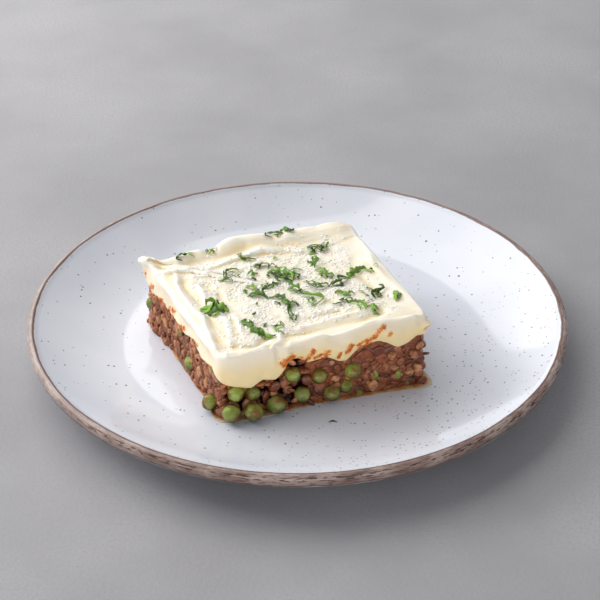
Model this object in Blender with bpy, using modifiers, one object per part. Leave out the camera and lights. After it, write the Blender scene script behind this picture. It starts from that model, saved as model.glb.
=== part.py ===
"""Square slice of shepherd's pie on its coupe plate: mash over a bed of lentils and peas.

Metres, +Z up. The origin is on the plate's axis, at the underside of its foot ring. +X runs to the
right of the plate and +Y to its back. The slice lies turned on the plate, so its own directions are
s, along its front side, and t, from the front side to the back one, each from -1 to 1.
"""

import math

import bmesh
import bpy
from mathutils import Vector, noise

MM = 0.001
GAP = 0.3 * MM
SCREW_MERGE = 0.1 * MM

# Plate
PLATE_RADIUS = 132.5 * MM
PLATE_HEIGHT = 22.5 * MM
WELL_RADIUS = 84 * MM
FLOOR_TOP = 6.0 * MM
FLOOR_THICKNESS = 4.4 * MM
RIM_RADIUS = 2.4 * MM
RIM_DROP = 4.6 * MM
RIM_TAPER = 0.8 * MM
RIM_STEPS = 5
RIM_INNER_ANGLE = 150
FOOT_RADIUS = 74 * MM
FOOT_WIDTH = 4.5 * MM
FOOT_ROUNDING = 1.0 * MM
FOOT_RECESS = FLOOR_TOP - FLOOR_THICKNESS
UNDERSIDE_RADIUS = FOOT_RADIUS + 3 * MM
UNDERSIDE_HEIGHT = FLOOR_THICKNESS / 2
UNDERSIDE_POWER = 1.7
WALL_POWER = 1.8
WALL_STEPS = 7
PLATE_STEPS = 60

# Slice: its corners in plan, above the spread of the filling at its base
FRONT_CORNER = Vector((-35.5, -69)) * MM
RIGHT_CORNER = Vector((61.5, -39.5)) * MM
BACK_CORNER = Vector((26.5, 49.5)) * MM
LEFT_CORNER = Vector((-76, 18.5)) * MM
CORNER_ROUNDING = 0.02
ROUNDING_POWER = 8

# Heights above the table at the front, right, back and left corners
SEAM_HEIGHTS = (27 * MM, 34 * MM, 33 * MM, 28 * MM)
CROWN_HEIGHTS = (38.5 * MM, 45 * MM, 43 * MM, 38.5 * MM)

FILLING_CUTS = (14, 13, 3)
FILLING_LUMP = 1.4 * MM
LUMP_SIZE = 11 * MM
FILLING_FLARE = 1.5 * MM
FILLING_FLARE_POWER = 2
FILLING_SHOULDER = 1.8 * MM
FILLING_SHOULDER_POWER = 6
BED_CLEARANCE = 1.5 * GAP

MASH_CUTS = (21, 18, 3)
MASH_OVERHANG = 1.8 * MM
MASH_BITE = 1.5 * MM
MASH_BELLY_POWER = 4
MASH_SHOULDER = 2.5 * MM
MASH_SHOULDER_POWER = 8

# Where the lower edge of the mash hangs or lifts along each side: centre, spread and rise
FRONT_HEM = (
    (-0.84, 0.17, -5.0 * MM),
    (-0.32, 0.11, 3.5 * MM),
    (0.16, 0.14, -3.0 * MM),
    (0.48, 0.11, 3.0 * MM),
    (0.72, 0.10, -5.0 * MM),
)
RIGHT_HEM = ((-0.5, 0.18, -2.0 * MM), (0.05, 0.15, 1.5 * MM), (0.55, 0.2, -2.5 * MM))
BACK_HEM = ((-0.6, 0.2, -2.0 * MM), (0.0, 0.15, 1.5 * MM), (0.6, 0.18, -2.0 * MM))
LEFT_HEM = ((-0.85, 0.2, -2.5 * MM), (-0.25, 0.2, 1.0 * MM), (0.4, 0.25, -1.5 * MM))

# Knife strokes and raised edges of the mash: ends in s and t, width and height
STROKES = (
    ((-0.62, -0.55), (-0.74, 0.70), 3.0 * MM, 1.4 * MM),
    ((-0.88, -0.60), (-0.88, 0.45), 4.0 * MM, -1.6 * MM),
    ((-0.80, 0.62), (0.25, 0.66), 3.0 * MM, 1.6 * MM),
    ((-1.00, 0.95), (-0.94, 0.90), 5.0 * MM, 2.4 * MM),
    ((-0.62, 0.94), (-0.50, 0.94), 5.0 * MM, 4.0 * MM),
    ((-0.25, 0.95), (0.30, 0.95), 5.0 * MM, 3.0 * MM),
    ((0.42, 0.95), (0.70, 0.95), 7.0 * MM, 5.5 * MM),
    ((0.30, 0.52), (0.95, 0.66), 3.0 * MM, -1.6 * MM),
    ((-0.45, -0.93), (0.85, -0.90), 3.0 * MM, 2.0 * MM),
    ((-0.30, -0.76), (0.70, -0.74), 3.5 * MM, -1.3 * MM),
    ((-0.90, -0.88), (-0.45, -0.80), 4.5 * MM, 1.2 * MM),
)

# Whole peas that show: side, place along it, height of the centre, standing out, radius
PEAS = (
    ("left", -0.84, 10.6 * MM, 2.0 * MM, 4.1 * MM),
    ("front", -0.94, 10.9 * MM, 4.0 * MM, 4.5 * MM),
    ("front", -0.74, 10.9 * MM, 5.4 * MM, 4.5 * MM),
    ("front", -0.87, 19.2 * MM, 0.4 * MM, 4.2 * MM),
    ("front", -0.70, 16.9 * MM, -1.2 * MM, 3.9 * MM),
    ("front", -0.50, 11.2 * MM, 3.2 * MM, 4.7 * MM),
    ("front", -0.31, 23.8 * MM, -0.8 * MM, 4.1 * MM),
    ("front", -0.22, 12.0 * MM, -0.4 * MM, 4.2 * MM),
    ("front", -0.05, 20.5 * MM, -0.8 * MM, 4.2 * MM),
    ("front", 0.06, 10.6 * MM, 1.2 * MM, 4.1 * MM),
    ("front", 0.22, 11.4 * MM, -2.2 * MM, 3.9 * MM),
    ("front", 0.28, 20.0 * MM, -0.6 * MM, 4.3 * MM),
    ("left", -0.17, 12.0 * MM, -2.0 * MM, 4.1 * MM),
    ("left", 0.88, 17.5 * MM, -1.2 * MM, 4.2 * MM),
    ("right", -0.30, 10.8 * MM, 0.4 * MM, 4.3 * MM),
    ("right", 0.18, 20.5 * MM, -0.6 * MM, 4.2 * MM),
    ("right", 0.70, 11.2 * MM, 0.6 * MM, 4.4 * MM),
    ("back", 0.52, 19.5 * MM, -0.8 * MM, 4.3 * MM),
    ("back", 0.05, 10.9 * MM, 0.8 * MM, 4.4 * MM),
    ("back", -0.45, 16.0 * MM, -0.8 * MM, 4.2 * MM),
)
PEA_SEGMENTS = 9
PEA_RINGS = 6
PEA_FLATTENING = 0.93


def clear_scene():
    for obj in list(bpy.data.objects):
        bpy.data.objects.remove(obj)


def new_collection(name):
    collection = bpy.data.collections.new(name)
    bpy.context.scene.collection.children.link(collection)
    return collection


def new_material(name, colour, roughness, metallic=0.0):
    material = bpy.data.materials.new(name)
    material.use_nodes = True
    shader = material.node_tree.nodes["Principled BSDF"]
    shader.inputs["Base Color"].default_value = (*colour, 1.0)
    shader.inputs["Roughness"].default_value = roughness
    shader.inputs["Metallic"].default_value = metallic
    return material


def object_from(bm, name, collection, material=None):
    mesh = bpy.data.meshes.new(name)
    bm.to_mesh(mesh)
    bm.free()
    mesh.shade_smooth()
    obj = bpy.data.objects.new(name, mesh)
    collection.objects.link(obj)
    if material:
        mesh.materials.append(material)
    return obj


def bell(x, centre, spread):
    return math.exp(-(((x - centre) / spread) ** 2))


def edge_weight(x):
    """0 in the middle of the slice, rising to 1 at the side where x is 1."""
    return max(0.0, x) ** ROUNDING_POWER


def corner_mean(s, t, front, right, back, left):
    """The value at s, t, between the values at the four corners."""
    near = front * (1 - s) + right * (1 + s)
    far = left * (1 - s) + back * (1 + s)
    return (near * (1 - t) + far * (1 + t)) / 4


def plan_point(s, t):
    """Place in plan of a point of the slice, with its corners rounded."""
    turn_s = s * (1 - CORNER_ROUNDING * t**ROUNDING_POWER)
    turn_t = t * (1 - CORNER_ROUNDING * s**ROUNDING_POWER)
    return corner_mean(turn_s, turn_t, FRONT_CORNER, RIGHT_CORNER, BACK_CORNER, LEFT_CORNER)


def outward(s, t):
    """Level direction out of the slice at s, t, straight out of a side and diagonal at a corner."""
    centre = plan_point(0, 0)
    along = (plan_point(1, 0) - centre) * (edge_weight(s) - edge_weight(-s))
    across = (plan_point(0, 1) - centre) * (edge_weight(t) - edge_weight(-t))
    return (along + across).normalized() if (along + across).length else Vector((0, 0))


def bumps(x, rises):
    return sum(rise * bell(x, centre, spread) for centre, spread, rise in rises)


def hem_offset(s, t):
    """How far the lower edge of the mash is above the seam, near the sides of the slice."""
    sides = (
        (edge_weight(-t), bumps(s, FRONT_HEM)),
        (edge_weight(s), bumps(t, RIGHT_HEM)),
        (edge_weight(t), bumps(s, BACK_HEM)),
        (edge_weight(-s), bumps(t, LEFT_HEM)),
    )
    total = max(1.0, sum(weight for weight, _ in sides))
    return sum(weight * rise for weight, rise in sides) / total


def stroke_height(s, t):
    """Height that the knife strokes add to the top of the mash, or take from it, at s, t."""
    centre = plan_point(s, t)
    height = 0.0
    for start, end, width, rise in STROKES:
        first, last = plan_point(*start), plan_point(*end)
        along = last - first
        share = min(1.0, max(0.0, (centre - first).dot(along) / along.length_squared))
        height += rise * bell((centre - first - along * share).length, 0, width)
    return height


def seam_height(s, t):
    """Top of the filling, raised at the sides where it stands up in front of the mash."""
    return corner_mean(s, t, *SEAM_HEIGHTS) + max(0.0, hem_offset(s, t))


def lump(point, size):
    return noise.noise(point / size)


def gridded_block(cuts):
    """Cube from -1 to 1, cut into a grid along each axis."""
    bm = bmesh.new()
    bmesh.ops.create_cube(bm, size=2.0)
    for axis, count in enumerate(cuts):
        edges = [edge for edge in bm.edges if edge.verts[0].co[axis] * edge.verts[1].co[axis] < 0]
        bmesh.ops.subdivide_edges(bm, edges=edges, cuts=count, use_grid_fill=True)
    return bm


def filling_vertex(s, t, level, grown=0.0):
    """Place of the filling's point at level 0, its base, to 1, its top, grown outwards and upwards."""
    bottom = FLOOR_TOP + GAP
    height = bottom + (seam_height(s, t) - bottom) * level
    place = plan_point(s, t)
    edge = max(edge_weight(abs(s)), edge_weight(abs(t)))
    out = FILLING_LUMP * lump(Vector((*place, height)), LUMP_SIZE)
    out += FILLING_FLARE * (1 - level) ** FILLING_FLARE_POWER
    out -= FILLING_SHOULDER * level**FILLING_SHOULDER_POWER
    place = place + outward(s, t) * edge * (out + grown)
    return Vector((*place, height + grown * level))


def bed_vertex(s, t, level):
    """The filling's point with room round it, for the hollow that it leaves in the mash."""
    return filling_vertex(s, t, level, grown=BED_CLEARANCE)


def mash_vertex(s, t, level):
    """Place of the mash's point at level 0, its underside, to 1, its top."""
    edge = max(edge_weight(abs(s)), edge_weight(abs(t)))
    bottom = corner_mean(s, t, *SEAM_HEIGHTS) - MASH_BITE + hem_offset(s, t)
    top = corner_mean(s, t, *CROWN_HEIGHTS) + stroke_height(s, t)
    height = bottom + (top - bottom) * level
    place = plan_point(s, t)
    belly = MASH_OVERHANG * (1 - (2 * level - 1) ** MASH_BELLY_POWER / 2)
    shoulder = MASH_SHOULDER * level**MASH_SHOULDER_POWER
    place = place + outward(s, t) * edge * (belly - shoulder)
    return Vector((*place, height - edge * shoulder))


def shaped_block(name, cuts, vertex_of, collection, material=None):
    bm = gridded_block(cuts)
    for vertex in bm.verts:
        s, t, level = vertex.co.x, vertex.co.y, (vertex.co.z + 1) / 2
        vertex.co = vertex_of(s, t, level)
    bmesh.ops.recalc_face_normals(bm, faces=bm.faces)
    return object_from(bm, name, collection, material)


def arc(centre, radius, start, end, steps):
    """Points of an arc in the plate's profile, angles in degrees from +X."""
    points = []
    for step in range(steps + 1):
        angle = math.radians(start + (end - start) * step / steps)
        points.append((centre[0] + radius * math.cos(angle), centre[1] + radius * math.sin(angle)))
    return points


def plate_profile():
    """Inner side from the middle of the well out to the rim, and outer side from there down and in."""
    rim_centre = (PLATE_RADIUS - RIM_RADIUS, PLATE_HEIGHT - RIM_RADIUS)
    rim_foot = (PLATE_RADIUS - RIM_TAPER, PLATE_HEIGHT - RIM_DROP - RIM_RADIUS / 2)
    outer = arc(rim_centre, RIM_RADIUS, RIM_INNER_ANGLE, 0, RIM_STEPS)
    wall_top = outer[0]
    for step in range(WALL_STEPS):
        share = 1 - step / WALL_STEPS
        radius = UNDERSIDE_RADIUS + (rim_foot[0] - UNDERSIDE_RADIUS) * share
        height = UNDERSIDE_HEIGHT + (rim_foot[1] - UNDERSIDE_HEIGHT) * share**UNDERSIDE_POWER
        outer.append((radius, height))
    foot_inner = FOOT_RADIUS - FOOT_WIDTH
    outer += [(FOOT_RADIUS, FOOT_RECESS), (FOOT_RADIUS - FOOT_ROUNDING, 0)]
    outer += [(foot_inner + FOOT_ROUNDING, 0), (foot_inner, FOOT_RECESS), (0, FOOT_RECESS)]
    inner = [(0, FLOOR_TOP)]
    for step in range(WALL_STEPS):
        share = step / WALL_STEPS
        radius = WELL_RADIUS + (wall_top[0] - WELL_RADIUS) * share
        inner.append((radius, FLOOR_TOP + (wall_top[1] - FLOOR_TOP) * share**WALL_POWER))
    return inner + outer


def build_plate(collection, material):
    """Plate turned with a Screw modifier from its profile, which is closed on the axis."""
    bm = bmesh.new()
    path = [bm.verts.new((radius, 0, height)) for radius, height in plate_profile()]
    for first, second in zip(path, path[1:]):
        bm.edges.new((first, second))
    plate = object_from(bm, "plate", collection, material)
    screw = plate.modifiers.new("turn", "SCREW")
    screw.steps = PLATE_STEPS
    screw.render_steps = PLATE_STEPS
    screw.use_merge_vertices = True
    screw.merge_threshold = SCREW_MERGE
    screw.use_normal_calculate = True


def pea_place(side, along, height, out):
    """Centre of a pea on a side of the slice, standing out of the side's face by out."""
    s, t = {"front": (along, -1), "right": (1, along), "back": (along, 1), "left": (-1, along)}[side]
    face = {"front": (0, -1), "right": (1, 0), "back": (0, 1), "left": (-1, 0)}[side]
    place = plan_point(s, t) + outward(*face) * out
    return Vector((*place, height))


def build_pea(name, place, radius, collection, material=None):
    bm = bmesh.new()
    bmesh.ops.create_uvsphere(bm, u_segments=PEA_SEGMENTS, v_segments=PEA_RINGS, radius=radius)
    bmesh.ops.scale(bm, vec=(1, 1, PEA_FLATTENING), verts=bm.verts)
    obj = object_from(bm, name, collection, material)
    obj.location = place
    return obj


def cut(obj, name, cutters):
    boolean = obj.modifiers.new(name, "BOOLEAN")
    boolean.operation = "DIFFERENCE"
    boolean.solver = "EXACT"
    boolean.operand_type = "COLLECTION"
    boolean.collection = cutters


def hide_cutters(collection):
    for obj in collection.objects:
        obj.hide_render = True
        obj.display_type = "WIRE"


def main():
    clear_scene()
    pie = new_collection("shepherds_pie_on_plate")
    pea_cutters = new_collection("pea_cutters")
    bed_cutters = new_collection("bed_cutters")

    glaze = new_material("speckled_glaze", (0.72, 0.73, 0.74), 0.15)
    potato = new_material("mashed_potato", (0.88, 0.82, 0.62), 0.45)
    stew = new_material("lentil_filling", (0.20, 0.08, 0.045), 0.4)
    green = new_material("pea_skin", (0.22, 0.32, 0.06), 0.35)

    build_plate(pie, glaze)
    filling = shaped_block("filling", FILLING_CUTS, filling_vertex, pie, stew)
    mash = shaped_block("mash", MASH_CUTS, mash_vertex, pie, potato)

    shaped_block("bed_cutter", FILLING_CUTS, bed_vertex, bed_cutters)
    for number, (side, along, height, out, radius) in enumerate(PEAS, start=1):
        place = pea_place(side, along, height, out)
        build_pea(f"pea_{number:02d}", place, radius, pie, green)
        build_pea(f"pea_cutter_{number:02d}", place, radius + GAP, pea_cutters)

    cut(mash, "bed", bed_cutters)
    cut(mash, "peas", pea_cutters)
    cut(filling, "peas", pea_cutters)
    hide_cutters(pea_cutters)
    hide_cutters(bed_cutters)


main()
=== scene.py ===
"""Square slice of shepherd's pie, mash over lentils and peas, on a speckled coupe plate.

Metres, +Z up. The plate turns about the Z axis and stands on its foot ring at height 0. The slice has
its own directions: s along its front side and t from there to its back, each from -1 to 1. A lap is a
place round its outline: 0 at the front corner, 1 at the right, 2 at the back, 3 at the left corner and
4 at the front corner again.
"""

import math

import bpy
import numpy as np
from mathutils import Matrix, Vector, noise


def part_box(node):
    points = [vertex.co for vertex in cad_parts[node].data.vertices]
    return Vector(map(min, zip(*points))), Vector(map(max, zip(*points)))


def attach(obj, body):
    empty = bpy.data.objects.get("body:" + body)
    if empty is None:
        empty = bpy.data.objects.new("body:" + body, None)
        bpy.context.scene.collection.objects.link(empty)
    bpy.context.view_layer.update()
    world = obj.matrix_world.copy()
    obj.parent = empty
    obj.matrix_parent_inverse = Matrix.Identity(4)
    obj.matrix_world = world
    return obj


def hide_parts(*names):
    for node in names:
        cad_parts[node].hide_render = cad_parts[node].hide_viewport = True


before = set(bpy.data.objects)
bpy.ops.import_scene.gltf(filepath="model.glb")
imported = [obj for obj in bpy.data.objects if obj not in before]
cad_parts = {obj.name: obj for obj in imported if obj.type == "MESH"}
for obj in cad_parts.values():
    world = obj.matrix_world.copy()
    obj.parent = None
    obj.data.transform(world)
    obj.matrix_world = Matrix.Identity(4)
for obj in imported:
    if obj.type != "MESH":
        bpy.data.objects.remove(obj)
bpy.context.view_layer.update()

MM = 0.001
FULL_TURN = 6.3  # radians

# Camera and the table that it looks at
VIEW_ANGLE = math.radians(20)
VIEW_ELEVATION = math.radians(32.68)
VIEW_DISTANCE = 0.8873
VIEW_AIM = Vector((0.0013, 0.0433, 0.0))
TABLE_SIZE = 6.0

# Plate
PLATE_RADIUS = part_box("plate")[1].x
PLATE_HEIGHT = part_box("plate")[1].z
FILLING_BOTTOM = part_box("filling")[0].z
FLOOR_TOP = FILLING_BOTTOM - 0.3 * MM
FLOOR_THICKNESS = 4.4 * MM
WELL_RADIUS = 84 * MM
RIM_RADIUS = 2.4 * MM
RIM_DROP = 4.6 * MM
RIM_TAPER = 0.8 * MM
RIM_INNER_ANGLE = 150
RIM_STEPS = 16
FOOT_RADIUS = 74 * MM
FOOT_WIDTH = 4.5 * MM
FOOT_ROUNDING = 1.0 * MM
FOOT_STEPS = 5
WALL_STEPS = 26
WALL_POWER = 1.8
UNDERSIDE_POWER = 1.7
PLATE_STEPS = 224
CLAY_RADIUS = PLATE_RADIUS - 2 * RIM_RADIUS + 1.7 * MM
CLAY_LOW_EDGE = PLATE_HEIGHT - RIM_DROP - 0.6 * MM
CLAY_FADE = 0.5 * MM
GLAZE_ROUGHNESS = 0.09
CLAY_ROUGHNESS = 0.2
STREAK_LENGTH = (0.07, 0.07, 0.0)
SPECK_BEND = (0.7 * MM, 0.7 * MM, 0.7 * MM)

# Slice
OUTLINE_STEPS = 1200
CROWN = (38.5 * MM, 45.0 * MM, 43.0 * MM, 38.5 * MM)
SOFT_CORNER = 4.2 * MM
SHARP_CORNER = 0.9 * MM
MASH_SOFTNESS = (1.0, 0.8, 0.5, 0.0)
FILLING_SOFTNESS = (0.7, 0.5, 0.6, 0.6)

# Height of the lower edge of the mash, as laps and millimetres
HEM = (
    (0.00, 25.0), (0.07, 22.7), (0.15, 20.9), (0.20, 24.8), (0.26, 23.3), (0.29, 26.0),
    (0.325, 33.0), (0.37, 33.0), (0.41, 29.2), (0.51, 31.0), (0.56, 27.8), (0.60, 27.0),
    (0.64, 31.5), (0.70, 33.6), (0.75, 35.6), (0.80, 33.0), (0.85, 29.0), (0.90, 30.6),
    (0.94, 33.8), (1.00, 33.5), (1.15, 31.0), (1.30, 33.5), (1.45, 30.5), (1.60, 33.5),
    (1.75, 31.0), (1.90, 33.0), (2.00, 32.0), (2.15, 30.0), (2.30, 32.5), (2.50, 29.0),
    (2.65, 31.0), (2.85, 28.5), (3.00, 28.0), (3.12, 24.0), (3.20, 26.0), (3.32, 24.5),
    (3.42, 26.2), (3.52, 24.2), (3.62, 26.8), (3.75, 24.4), (3.87, 26.8), (3.95, 25.0),
)  # fmt: skip
HEM_SOFTNESS = 0.9 * MM

MASH_CELLS = 280
MASH_TOP_SHARE = 0.78
MASH_SHOULDER = 2.4 * MM
MASH_OVERHANG = 1.5 * MM
MASH_HEM_RADIUS = 1.7 * MM
MASH_TUCK = 5.0 * MM
MASH_FULL_HEIGHT = 44.6 * MM
MASH_SPARE_HEIGHT = 1.8 * MM
SIDE_LENGTH = 100 * MM

FILLING_CELLS = 250
FILLING_TOP_SHARE = 0.3
FILLING_FLARE = 1.5 * MM
FILLING_COVERED = 3.0 * MM
FILLING_SWELL = 2.4 * MM


# ---------------------------------------------------------------- shaping in general


def deselect_all():
    bpy.ops.object.select_all(action="DESELECT")


def points_of(obj):
    points = np.empty(len(obj.data.vertices) * 3, np.float32)
    obj.data.vertices.foreach_get("co", points)
    return points.reshape(-1, 3).astype(float)


def move_points(obj, points):
    obj.data.vertices.foreach_set("co", points.astype(np.float32).ravel())
    obj.data.update()


def bell(distance, spread):
    return np.exp(-((distance / spread) ** 2))


def smoothed_step(x, low, high):
    """0 up to low, 1 from high on, and smooth in between."""
    share = np.clip((x - low) / (high - low), 0, 1)
    return share * share * (3 - 2 * share)


def ripple(points, size, seed=0.0, stretch=(1, 1, 1)):
    """Smooth noise between about -1 and 1 at each point, with waves about size long."""
    places = points / (size * np.array(stretch)) + seed
    return np.array([noise.noise(place) for place in places.tolist()])


def held_under(heights, full, spare):
    """Heights that level off from a full height on, and pass it by the spare height at most."""
    over = np.maximum(heights - full, 0)
    return heights - over + spare * np.tanh(over / spare)


def in_space(plan, height):
    return np.column_stack([plan, np.broadcast_to(height, len(plan))])


def finish_piece(obj, name, material, slot, *nodes):
    """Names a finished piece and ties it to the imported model."""
    obj.name = name
    obj.data.name = name
    obj.data.materials.clear()
    obj.data.materials.append(material)
    obj.data.shade_smooth()
    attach(obj, "root")
    if nodes:
        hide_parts(*nodes)
    return obj


def joined_copies(name, model, places, tints):
    """One mesh of a modelled piece's copies, one for each 4 by 4 matrix in places."""
    shape = points_of(model)
    corners = np.empty(len(model.data.loops), np.int32)
    model.data.loops.foreach_get("vertex_index", corners)
    sizes = np.empty(len(model.data.polygons), np.int32)
    model.data.polygons.foreach_get("loop_total", sizes)
    bpy.data.objects.remove(model)

    count = len(places)
    places = np.array(places)
    points = np.einsum("cij,vj->cvi", places[:, :3, :3], shape) + places[:, None, :3, 3]
    offsets = np.arange(count)[:, None] * len(shape)
    all_sizes = np.tile(sizes, count)
    mesh = bpy.data.meshes.new(name)
    mesh.vertices.add(count * len(shape))
    mesh.vertices.foreach_set("co", points.astype(np.float32).ravel())
    mesh.loops.add(count * len(corners))
    mesh.loops.foreach_set("vertex_index", (corners + offsets).astype(np.int32).ravel())
    mesh.polygons.add(len(all_sizes))
    mesh.polygons.foreach_set("loop_start", np.cumsum(all_sizes) - all_sizes)
    mesh.update(calc_edges=True)
    add_attribute(mesh, "tint", np.repeat(tints, len(shape)))
    obj = bpy.data.objects.new(name, mesh)
    bpy.context.scene.collection.objects.link(obj)
    return obj


def add_attribute(mesh, name, values):
    attribute = mesh.attributes.new(name, "FLOAT", "POINT")
    attribute.data.foreach_set("value", np.asarray(values, np.float32))


def turned_matrix(place, axis, spin, size):
    """Matrix of a copy whose own Z lies along axis, spun about it and sized along X, Y and Z."""
    turn = Vector(axis).to_track_quat("Z", "Y").to_matrix() @ Matrix.Rotation(spin, 3, "Z")
    return Matrix.Translation(place) @ (turn @ Matrix.Diagonal(size)).to_4x4()


def start_from(add_primitive, **values):
    """A new primitive, selected on its own."""
    deselect_all()
    add_primitive(**values)
    return bpy.context.object


def square_grid(cells, rows=None):
    """Grid from -1 to 1 both ways."""
    return start_from(
        bpy.ops.mesh.primitive_grid_add, x_subdivisions=cells, y_subdivisions=rows or cells, size=2
    )


def close_underside(obj, shrink=0.5):
    """Draws the open edge of a wrapped grid in towards its middle and fills it."""
    bpy.ops.object.mode_set(mode="EDIT")
    bpy.ops.mesh.select_all(action="DESELECT")
    bpy.ops.mesh.select_non_manifold()
    bpy.ops.mesh.extrude_edges_move()
    bpy.ops.transform.resize(value=(shrink, shrink, 1), center_override=tuple(SLICE_MIDDLE))
    bpy.ops.mesh.edge_face_add()
    bpy.ops.mesh.select_all(action="SELECT")
    bpy.ops.mesh.normals_make_consistent(inside=False)
    bpy.ops.object.mode_set(mode="OBJECT")


# ---------------------------------------------------------------- outline of the slice


def extreme_point(axis, sign):
    """The point of the filling that lies farthest along an axis, in plan."""
    points = points_of(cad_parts["filling"])
    return points[np.argmax(points[:, axis] * sign)][:2]


FRONT_CORNER = extreme_point(1, -1)
RIGHT_CORNER = extreme_point(0, 1)
BACK_CORNER = extreme_point(1, 1)
LEFT_CORNER = extreme_point(0, -1)
SLICE_MIDDLE = (*((FRONT_CORNER + RIGHT_CORNER + BACK_CORNER + LEFT_CORNER) / 4), 0.03)


def corner_mean(s, t, front, right, back, left):
    near = front * (1 - s) + right * (1 + s)
    far = left * (1 - s) + back * (1 + s)
    return (near * (1 - t) + far * (1 + t)) / 4


def plan_point(s, t):
    return corner_mean(
        s[:, None], t[:, None], FRONT_CORNER, RIGHT_CORNER, BACK_CORNER, LEFT_CORNER
    )


def lap_of(s, t):
    """Lap of the place on the outline towards which s, t lies from the middle."""
    reach = np.maximum(np.maximum(abs(s), abs(t)), 1e-6)
    along, across = s / reach, t / reach
    front, right, back = across <= -1, along >= 1, across >= 1
    laps = [(along + 1) / 2, 1 + (across + 1) / 2, 2 + (1 - along) / 2]
    return np.select([front, right, back], laps, 3 + (1 - across) / 2)


def edge_directions(lap):
    """s and t of the place on the outline at a lap."""
    side = np.floor(lap).astype(int) % 4
    along = 2 * (lap % 1) - 1
    ones = np.ones_like(along)
    return np.choose(side, [along, ones, -along, -ones]), np.choose(side, [-ones, along, ones, -along])


def round_smoothed(values, spread, step):
    """Values round a closed line, smoothed over a length."""
    count = len(values)
    gaps = np.minimum(np.arange(count), count - np.arange(count)) * step
    weights = np.exp(-((gaps / spread) ** 2) / 2)
    spectrum = np.fft.rfft(weights / weights.sum())
    if values.ndim == 1:
        return np.fft.irfft(np.fft.rfft(values) * spectrum, count)
    return np.column_stack([round_smoothed(column, spread, step) for column in values.T])


class Outline:
    """Closed line round the slice, with its corners rounded by softness at each of them."""

    def __init__(self, softness):
        self.laps = np.arange(OUTLINE_STEPS) * 4 / OUTLINE_STEPS
        square = plan_point(*edge_directions(self.laps))
        self.step = np.linalg.norm(np.roll(square, -1, axis=0) - square, axis=1).mean()
        soft = round_smoothed(square, SOFT_CORNER, self.step)
        sharp = round_smoothed(square, SHARP_CORNER, self.step)
        share = np.interp(self.laps, range(5), (*softness, softness[0]))[:, None]
        self.places = soft * share + sharp * (1 - share)
        run = np.roll(self.places, -2, axis=0) - np.roll(self.places, 2, axis=0)
        self.outwards = np.column_stack([run[:, 1], -run[:, 0]])
        self.outwards /= np.linalg.norm(self.outwards, axis=1)[:, None]

    def read(self, values, lap):
        if values.ndim == 1:
            return np.interp(lap, self.laps, values, period=4)
        return np.column_stack([self.read(column, lap) for column in values.T])

    def at(self, lap):
        """Place in plan, and the level direction straight out, at each lap."""
        outward = self.read(self.outwards, lap)
        return self.read(self.places, lap), outward / np.linalg.norm(outward, axis=1)[:, None]


MASH_OUTLINE = Outline(MASH_SOFTNESS)
FILLING_OUTLINE = Outline(FILLING_SOFTNESS)


def hem_height(lap):
    laps, heights = np.array(HEM).T
    drawn = np.interp(MASH_OUTLINE.laps, laps, heights * MM, period=4)
    return MASH_OUTLINE.read(round_smoothed(drawn, HEM_SOFTNESS, MASH_OUTLINE.step), lap)


# ---------------------------------------------------------------- shader parts


class Shading:
    """Adds nodes to a material or a node group and joins them. Colours run from 0 to 255."""

    def __init__(self, tree, material=None, sockets=None):
        self.tree = tree
        self.material = material
        self.sockets = sockets

    def add(self, kind, inputs=(), **settings):
        node = self.tree.nodes.new(kind)
        for name, value in settings.items():
            setattr(node, name, value)
        for key, value in dict(inputs).items():
            self.put(node.inputs[key], value)
        return node

    def put(self, socket, value):
        if isinstance(value, bpy.types.NodeSocket):
            self.tree.links.new(value, socket)
        else:
            socket.default_value = value

    def maths(self, operation, *values):
        return self.add("ShaderNodeMath", enumerate(values), operation=operation).outputs[0]

    def vectors(self, operation, *values):
        return self.add("ShaderNodeVectorMath", enumerate(values), operation=operation).outputs

    def times(self, mask, strength):
        return self.maths("MULTIPLY", mask, strength)

    def place(self):
        return self.add("ShaderNodeTexCoord").outputs["Object"]

    def noise(self, scale, detail=2.0, vector=None, output="Fac", **inputs):
        sockets = {"Scale": scale, "Detail": detail, "Vector": vector or self.place(), **inputs}
        return self.add("ShaderNodeTexNoise", sockets).outputs[output]

    def steps(self, value, low, high):
        """0 below low and 1 above high, smooth in between."""
        sockets = {"Value": value, "From Min": low, "From Max": high}
        return self.add("ShaderNodeMapRange", sockets, interpolation_type="SMOOTHSTEP").outputs[0]

    def mix(self, share, first, second, strength=None):
        """Goes from the first colour to the second by the share, times the strength if there is one."""
        if strength is not None:
            share = self.times(share, strength)
        node = self.add("ShaderNodeMix", {0: share}, data_type="RGBA")
        for number, colour in ((6, first), (7, second)):
            self.put(node.inputs[number], srgb(*colour) if isinstance(colour, tuple) else colour)
        return node.outputs[2]

    def attribute(self, name):
        return self.add("ShaderNodeAttribute", attribute_name=name).outputs["Fac"]

    def group(self, group, **inputs):
        return self.add("ShaderNodeGroup", inputs, node_tree=group).outputs[0]

    def speckle(self, scale, amount, size, shift):
        return self.group(SPECKLE, Scale=scale, Amount=amount, Size=size, Shift=shift)

    def mottle(self, scale, detail=4.0, low=0.4, high=0.6, warp=0.0):
        return self.group(MOTTLE, Scale=scale, Detail=detail, Low=low, High=high, Warp=warp)

    def painted(self, colour, scale, strength, **grain):
        """The material with a colour, and a fine grain of a scale and strength."""
        self.put(self.sockets["Base Color"], colour)
        normal = self.group(FINE_GRAIN, Scale=scale, Strength=strength, **grain)
        self.put(self.sockets["Normal"], normal)
        return self.material


def srgb(red, green, blue):
    """Linear colour of a colour given from 0 to 255."""
    shares = [channel / 255 for channel in (red, green, blue)]
    return (*[x / 12.92 if x < 0.04045 else ((x + 0.055) / 1.055) ** 2.4 for x in shares], 1.0)


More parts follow.
